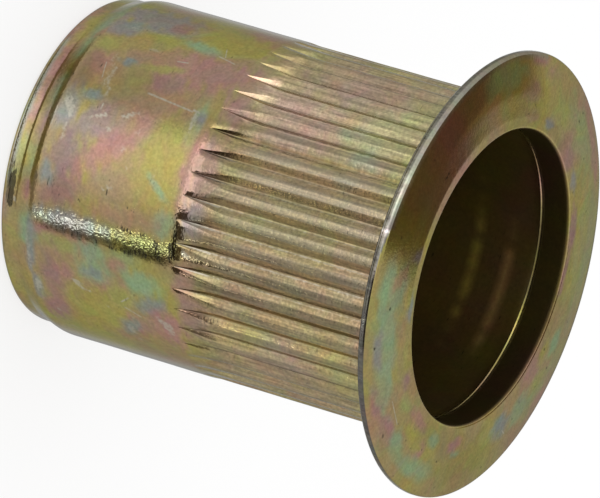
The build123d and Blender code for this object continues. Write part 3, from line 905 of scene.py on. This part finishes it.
# the light tent round the nut, seen only in its reflections: each panel by azimuth and elevation in
# degrees, its half sizes, the softness of its right, left, upper and lower edges, and its colour
tent = {
    "radius": 0.25,              # in metres
    "ground": (1.0, 1.0, 1.0),
    "panels": {
        "key": ((-108, -27), (4, 45), (56, 24, 12, 12), (1.80, 1.78, 1.80)),
        "lens": ((-112, -49.5), (50, 7), (14, 40, 5, 4), (0.34, 0.30, 0.16)),
        "nose": ((-58, -41), (12, 4), (7, 8, 4, 5), (0.45, 0.42, 0.36)),
        "wedge": ((-58, -13.5), (17, 6), (4, 8, 3, 4), (0.09, 0.065, 0.03)),
        "glint": ((-97, -14), (17, 6), (6, 9, 5, 5), (2.9, 2.85, 2.95)),
        "side": ((87, -27), (12, 25), (10, 10, 10, 10), (0.55, 0.55, 0.55)),
        "flag": ((100.5, 52.6), (10.9, 17.4), (5, 2.2, 10, 3), (0.15, 0.088, 0.026)),
        "flagFoot": ((106, 33), (7, 3), (10, 5, 3, 4), (0.40, 0.32, 0.16)),
    },
}


def panelCover(offset, half, softAfter, softBefore):
    # 1 inside the half size, easing to 0 over the softness of that edge
    after = 1 - smoothStep(offset, half, half + softAfter)
    return after * (1 - smoothStep(-offset, half, half + softBefore))


def tentMesh():
    # a sphere, radius x the unit vector at each azimuth and elevation, with its colour kept at each point
    azimuth, elevation = np.meshgrid(np.arange(0, 360.0), np.arange(-89.0, 90.0))
    colour = np.ones(azimuth.shape + (3,)) * tent["ground"]
    for (middle, height), (halfAcross, halfUp), soft, shade in tent["panels"].values():
        right, left, upper, lower = soft
        cover = panelCover((azimuth - middle + 180) % 360 - 180, halfAcross, right, left)
        cover = cover * panelCover(elevation - height, halfUp, upper, lower)
        colour += (np.array(shade) - colour) * cover[..., None]
    points = outward(azimuth, elevation).reshape(-1, 3) * tent["radius"] + np.array([0, 0, nutBox[1].z / 2])
    faces = gridFaces(*azimuth.shape)[: -azimuth.shape[1]]
    mesh = meshFromGrid("lightTent", points, faces)
    setAttribute(mesh, "glow", colour, "FLOAT_VECTOR", "vector")
    return mesh


def tentMaterial():
    material, tree = newMaterial("tentPanels")
    colour = addNode(tree, "ShaderNodeAttribute", attribute_name="glow").outputs["Color"]
    glow = addNode(tree, "ShaderNodeEmission", {"Color": colour, "Strength": 1.0})
    tree.links.new(glow.outputs[0], addNode(tree, "ShaderNodeOutputMaterial").inputs[0])
    material.cycles.emission_sampling = "NONE"
    return material


# a bright slit with a dark edge beside it, close to the plain barrel, so that only the barrel mirrors it:
# the place it is mirrored at, where it lies from there, how far each distance along it in mm takes the step
# end's colours, and its colours at the nose end and the step end at each distance across
slit = {
    "mirrorAzimuth": -68.7,
    "mirrorHeight": 4.6,
    "azimuth": -46.6,
    "elevation": -26.0,
    "distance": 40.0,
    "along": [(-4.2, 0), (0.5, 0), (1.3, 1), (3.4, 1), (3.6, -1.5), (4.1, -1.5), (4.3, 1)],
    "across": [
        (-0.55, (0.8, 0.8, 0.8), (0.7, 0.7, 0.6)),
        (-0.33, (12.5, 13.2, 13.0), (2.1, 2.15, 2.0)),
        (0.33, (12.5, 13.2, 13.0), (2.1, 2.15, 2.0)),
        (0.60, (0.8, 0.8, 0.7), (0.10, 0.09, 0.06)),
        (2.2, (0.30, 0.28, 0.22), (0.05, 0.045, 0.03)),
        (4.6, (0.5, 0.45, 0.35), (0.05, 0.045, 0.03)),
        (6.6, (0.9, 0.9, 0.8), (0.35, 0.35, 0.3)),
    ],
}


def slitMesh():
    # rows of points across the slit, one at each place along it, square to the way the nut sees it
    away = outward(slit["azimuth"], slit["elevation"])
    side = outward(slit["azimuth"] + 90, 0)
    upright = np.cross(away, side)
    start = outward(slit["mirrorAzimuth"], 0) * nut["barrelRadius"] + np.array([0, 0, slit["mirrorHeight"]])
    offsets, noseEnd, stepEnd = (np.array(column) for column in zip(*slit["across"]))
    lengths, shares = np.array(slit["along"], float).T
    middles = start + away * slit["distance"] + upright * lengths[:, None, None]
    points = middles + side * offsets[None, :, None]
    colours = noseEnd + (stepEnd - noseEnd) * shares[:, None, None]
    faces = gridFaces(len(lengths), len(offsets)).reshape(len(lengths), len(offsets), 4)
    faces = faces[:-1, :-1].reshape(-1, 4)
    mesh = meshFromGrid("lightSlit", points.reshape(-1, 3) * mm, faces)
    setAttribute(mesh, "glow", colours, "FLOAT_VECTOR", "vector")
    return mesh


glowing = tentMaterial()
for name, mesh in (("lightTent", tentMesh()), ("lightSlit", slitMesh())):
    mesh.materials.append(glowing)
    made = bpy.data.objects.new(name, mesh)
    scene.collection.objects.link(made)
    for reach in ("camera", "diffuse", "shadow", "transmission", "volume_scatter"):
        setattr(made, "visible_" + reach, False)


# white world and a pale floor that keeps a soft shadow
floor = {
    "reach": 1.5,                # in metres
    "level": -0.00002,           # just under the nose end
    "colour": (0.9, 0.9, 0.9, 1.0),
    "glow": 0.7,                 # share of the floor seen as plain white, the rest takes the shadow
    "strength": 1.05,
}


def floorMaterial():
    material, tree = newMaterial("paleFloor")
    ray = addNode(tree, "ShaderNodeLightPath").outputs
    seen = calc(tree, "MAXIMUM", ray["Is Camera Ray"], ray["Is Glossy Ray"])
    seen = calc(tree, "MAXIMUM", seen, ray["Is Transmission Ray"])
    matt = addNode(tree, "ShaderNodeBsdfDiffuse", {"Color": floor["colour"]})
    glow = addNode(tree, "ShaderNodeEmission", {"Color": (1, 1, 1, 1), "Strength": floor["strength"]})
    share = calc(tree, "MULTIPLY", seen, floor["glow"])
    mixer = addNode(tree, "ShaderNodeMixShader", {0: share, 1: matt.outputs[0], 2: glow.outputs[0]})
    tree.links.new(mixer.outputs[0], addNode(tree, "ShaderNodeOutputMaterial").inputs[0])
    return material


def floorMesh():
    corners = np.array([[-1, -1, 0], [1, -1, 0], [1, 1, 0], [-1, 1, 0]]) * floor["reach"]
    return meshFromGrid("floor", corners + np.array([0, 0, floor["level"]]), np.array([[0, 1, 2, 3]]))


floorObject = bpy.data.objects.new("floor", floorMesh())
floorObject.data.materials.append(floorMaterial())
floorObject.visible_glossy = False
scene.collection.objects.link(floorObject)

world = bpy.data.worlds.new("whiteStudio")
world.use_nodes = True
background = world.node_tree.nodes["Background"].inputs
background["Color"].default_value = (1, 1, 1, 1)
background["Strength"].default_value = 1.0
scene.world = world
print("light and floor made")


# a long lens from the nose end's side, rolled so that the nut seems to lie
camera = {
    "azimuth": -90.72,
    "elevation": 27.3,
    "roll": 106.48,
    "lens": 600.0,
    "distance": 382.0,
    "aim": (0.9906, -2.6657, 11.324),    # in mm, as the distance is
}


def addCamera():
    back = outward(camera["azimuth"], camera["elevation"])
    level = outward(camera["azimuth"] + 90, 0)
    upright = np.cross(back, level)
    rolled = math.radians(camera["roll"])
    right = math.cos(rolled) * level + math.sin(rolled) * upright
    above = np.cross(back, right)
    place = np.array(camera["aim"]) + back * camera["distance"]
    data = bpy.data.cameras.new("camera")
    data.lens = camera["lens"]
    data.clip_start, data.clip_end = 0.01, 5.0
    made = bpy.data.objects.new("camera", data)
    pose = np.eye(4)
    pose[:3, 0], pose[:3, 1], pose[:3, 2], pose[:3, 3] = right, above, back, place * mm
    made.matrix_world = Matrix(pose.tolist())
    scene.collection.objects.link(made)
    scene.camera = made


addCamera()
scene.view_settings.view_transform = "Standard"
print("camera set")
